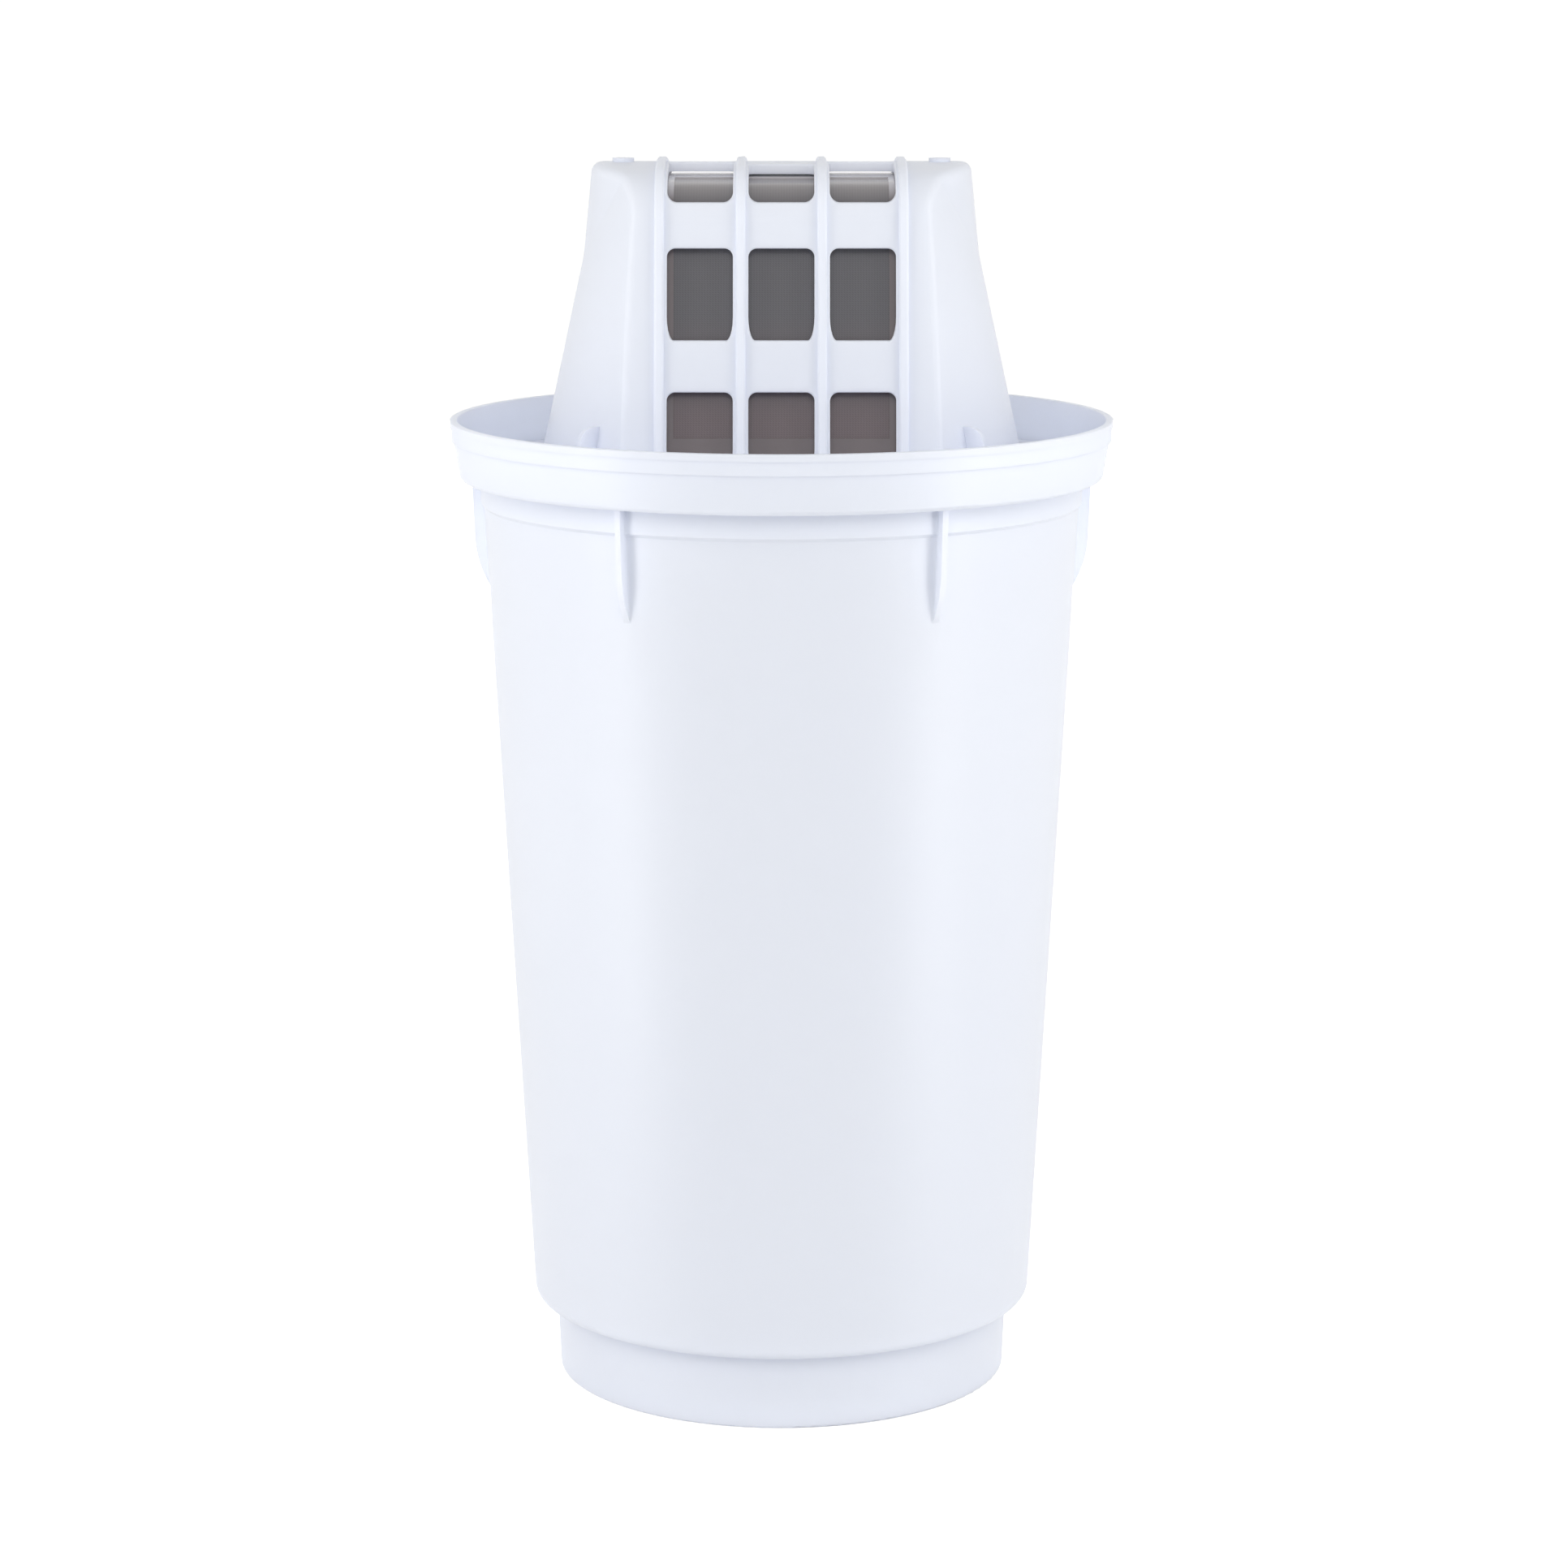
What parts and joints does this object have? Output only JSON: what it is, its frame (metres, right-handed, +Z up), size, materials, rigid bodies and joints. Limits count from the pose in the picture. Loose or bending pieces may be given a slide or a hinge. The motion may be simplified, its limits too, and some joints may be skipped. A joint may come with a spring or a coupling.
{
  "type": "water pitcher filter cartridge",
  "caption": "Water pitcher filter cartridge: tapered cup with a flared collar, a windowed inlet dome with screens, and felts and granules inside.",
  "frame": {"origin": "centre of the foot ring that the cartridge stands on", "axes": "+Z up along the axis of the cup; the windows of the dome face -Y and +Y"},
  "size_m": [0.08, 0.08, 0.1496],
  "materials": {
    "white_plastic": "moulded, satin gloss",
    "frame_plastic": "moulded, translucent grey",
    "inlet_screen": "fine woven screen",
    "felt": "needled felt",
    "granules": "carbon and resin granules",
    "outlet_screen": "fine woven screen"
  },
  "bodies": {
    "root": {"housing": "white_plastic", "inlet_dome": "white_plastic", "inlet_screen_frame": "frame_plastic", "inlet_mesh_front": "inlet_screen", "inlet_mesh_rear": "inlet_screen", "upper_felt_pad": "felt", "filter_bed": "granules", "lower_felt_pad": "felt", "outlet_mesh": "outlet_screen"}
  },
  "joints": []
}
